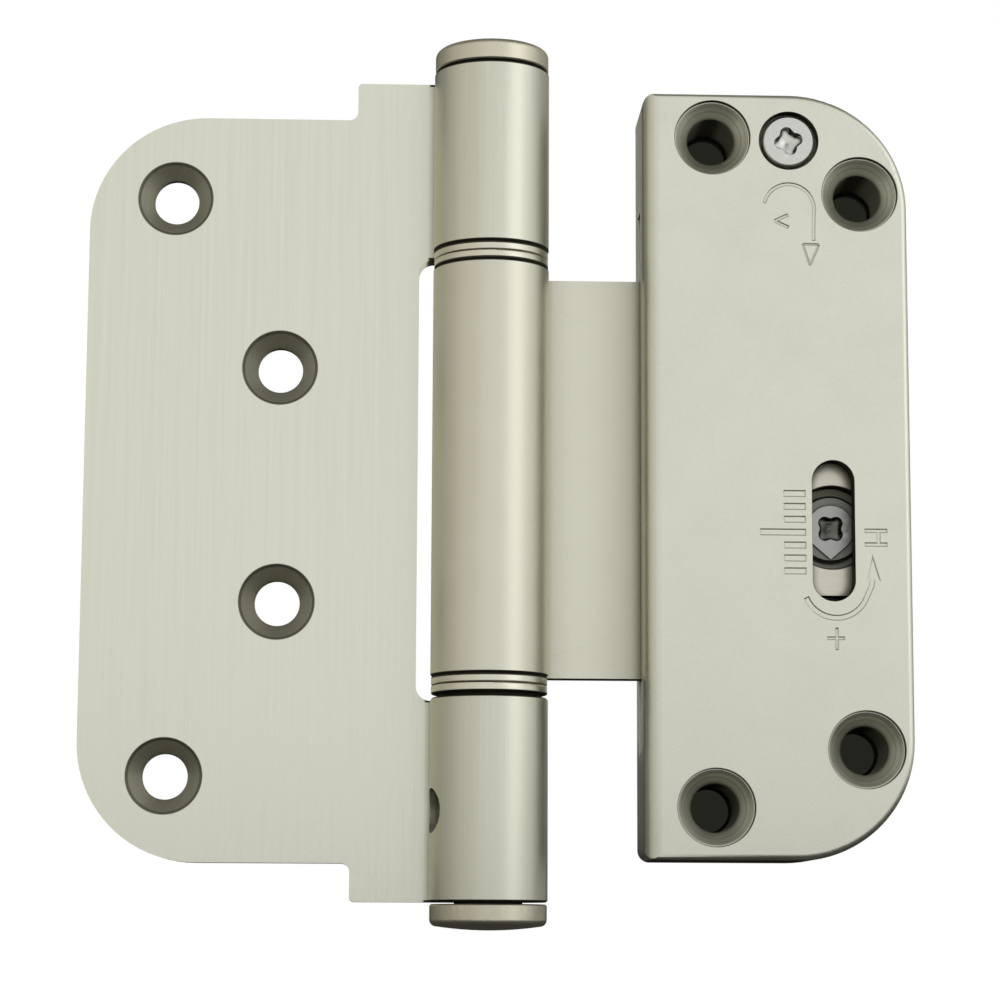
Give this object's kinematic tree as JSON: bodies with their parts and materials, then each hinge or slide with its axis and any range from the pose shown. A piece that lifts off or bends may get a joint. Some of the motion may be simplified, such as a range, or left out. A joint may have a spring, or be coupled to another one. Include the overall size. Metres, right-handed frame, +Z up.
{
  "type": "adjustable door hinge",
  "caption": "Door hinge with a rolled frame leaf and a box casing whose height and side position are set by screws, for hanging an entrance door.",
  "frame": {"origin": "on the flat back of the frame leaf, in the middle of its inner pair of screw holes; the pin's axis is 28.5 mm towards +X and 7.8 mm towards -Y from it", "axes": "+Z up along the hinge pin, +X towards the door and its casing, -Y the side that the screws are driven from, with the hinge open flat at 180 degrees"},
  "size_m": [0.1112, 0.0193, 0.1192],
  "materials": {
    "frame_leaf": "satin nickel, brushed along the barrel",
    "hinge_pin": "ground steel",
    "top_cap": "satin nickel",
    "bottom_cap": "satin nickel",
    "upper_frame_bushing": "satin nickel",
    "lower_frame_bushing": "satin nickel",
    "pin_set_screw": "dark steel",
    "door_leaf": "satin nickel, brushed along the barrel",
    "upper_door_bushing": "satin nickel",
    "lower_door_bushing": "satin nickel",
    "slide_plate": "satin nickel",
    "keeper_plate": "bright zinc plate",
    "carriage_rivets": "plain steel",
    "lift_nut": "plain brass",
    "h_adjust_cam": "dull nickel",
    "cam_washer": "spring steel",
    "cam_clip": "phosphated spring steel",
    "casing": "satin nickel on a zinc die casting",
    "back_plate": "bright zinc plate",
    "back_plate_screws": "bright zinc plate",
    "lead_screw_bearing": "sintered bronze",
    "v_adjust_screw": "bright zinc plate",
    "v_bevel_gear": "sintered steel",
    "lead_screw": "bright zinc plate",
    "lead_bevel_gear": "sintered steel"
  },
  "bodies": {
    "frame": {"frame_leaf": "frame_leaf", "hinge_pin": "hinge_pin", "top_cap": "top_cap", "bottom_cap": "bottom_cap", "upper_frame_bushing": "upper_frame_bushing", "lower_frame_bushing": "lower_frame_bushing", "pin_set_screw": "pin_set_screw"},
    "door_knuckle": {"door_leaf": "door_leaf", "upper_door_bushing": "upper_door_bushing", "lower_door_bushing": "lower_door_bushing"},
    "carriage": {"slide_plate": "slide_plate", "keeper_plate": "keeper_plate", "carriage_rivets": "carriage_rivets", "lift_nut": "lift_nut"},
    "h_adjuster": {"h_adjust_cam": "h_adjust_cam", "cam_washer": "cam_washer", "cam_clip": "cam_clip"},
    "door_casing": {"casing": "casing", "back_plate": "back_plate", "back_plate_screws": "back_plate_screws", "lead_screw_bearing": "lead_screw_bearing"},
    "v_adjuster": {"v_adjust_screw": "v_adjust_screw", "v_bevel_gear": "v_bevel_gear"},
    "lead_spindle": {"lead_screw": "lead_screw", "lead_bevel_gear": "lead_bevel_gear"}
  },
  "joints": [
    {"name": "leaf_swing", "type": "hinge", "parent": "frame", "child": "door_knuckle", "pos_m": [0.0285, -0.0078, 0], "axis": [0, 0, 1], "range_deg": [-180, 0]},
    {"name": "horizontal_adjust", "type": "slide", "parent": "door_knuckle", "child": "carriage", "axis": [1, 0, 0], "range_m": [-0.0025, 0.0025]},
    {"name": "h_adjuster_turn", "type": "hinge", "parent": "carriage", "child": "h_adjuster", "pos_m": [0.07465, -0.0016, -0.00565], "axis": [0, 1, 0], "range_deg": [-60.1, 60.1]},
    {"name": "vertical_adjust", "type": "slide", "parent": "carriage", "child": "door_casing", "axis": [0, 0, 1], "range_m": [-0.005, 0.005]},
    {"name": "v_adjuster_turn", "type": "hinge", "parent": "door_casing", "child": "v_adjuster", "pos_m": [0.0689, -0.0078, 0.04706], "axis": [0, 1, 0], "range_deg": [-721, 721]},
    {"name": "lead_screw_turn", "type": "hinge", "parent": "door_casing", "child": "lead_spindle", "pos_m": [0.0689, -0.00165, 0.03], "axis": [0, 0, 1], "range_deg": [-721, 721]}
  ],
  "couplings": [
    {"joint": "h_adjuster_turn", "follows": "horizontal_adjust", "rad_per_m": 418.88},
    {"joint": "v_adjuster_turn", "follows": "vertical_adjust", "rad_per_m": -2513.3},
    {"joint": "lead_screw_turn", "follows": "vertical_adjust", "rad_per_m": 2513.3}
  ]
}
